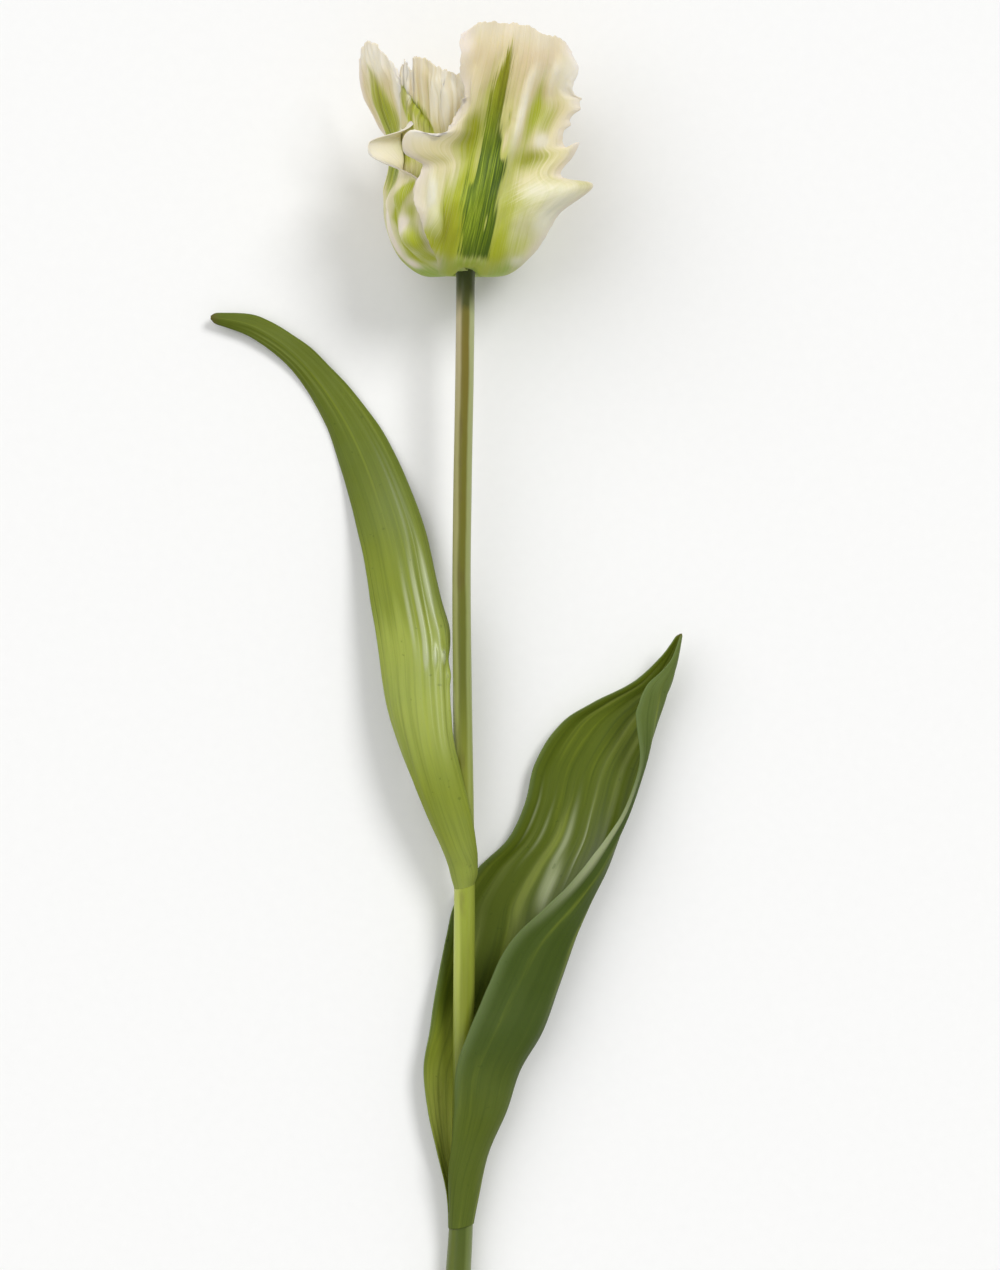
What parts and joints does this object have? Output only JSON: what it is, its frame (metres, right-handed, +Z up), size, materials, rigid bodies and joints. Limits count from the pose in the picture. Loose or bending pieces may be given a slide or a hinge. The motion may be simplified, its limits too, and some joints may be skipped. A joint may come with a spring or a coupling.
{
  "type": "parrot tulip",
  "caption": "Cut parrot tulip lying on its underside: ruffled white bloom with green flames on a straight stem, with a curving upper leaf and a broad clasping lower leaf.",
  "frame": {"origin": "middle of the flower's bounding box, on the surface that it lies on", "axes": "+Y along the stem from the cut end to the bloom, +Z up from the surface, +X to the side of the lower leaf"},
  "size_m": [0.1721, 0.4648, 0.0696],
  "materials": {
    "stem": "satin",
    "leaf": "satin, waxy",
    "tepal": "silky",
    "pistil": "satin",
    "stamen": "matt"
  },
  "bodies": {
    "root": {"stem": "stem", "leaf_left": "leaf", "leaf_right": "leaf", "tepal_outer_front": "tepal", "tepal_outer_left": "tepal", "tepal_outer_right": "tepal", "tepal_inner_left": "tepal", "tepal_inner_right": "tepal", "tepal_inner_under": "tepal", "pistil": "pistil", "stamens": "stamen"}
  },
  "joints": []
}
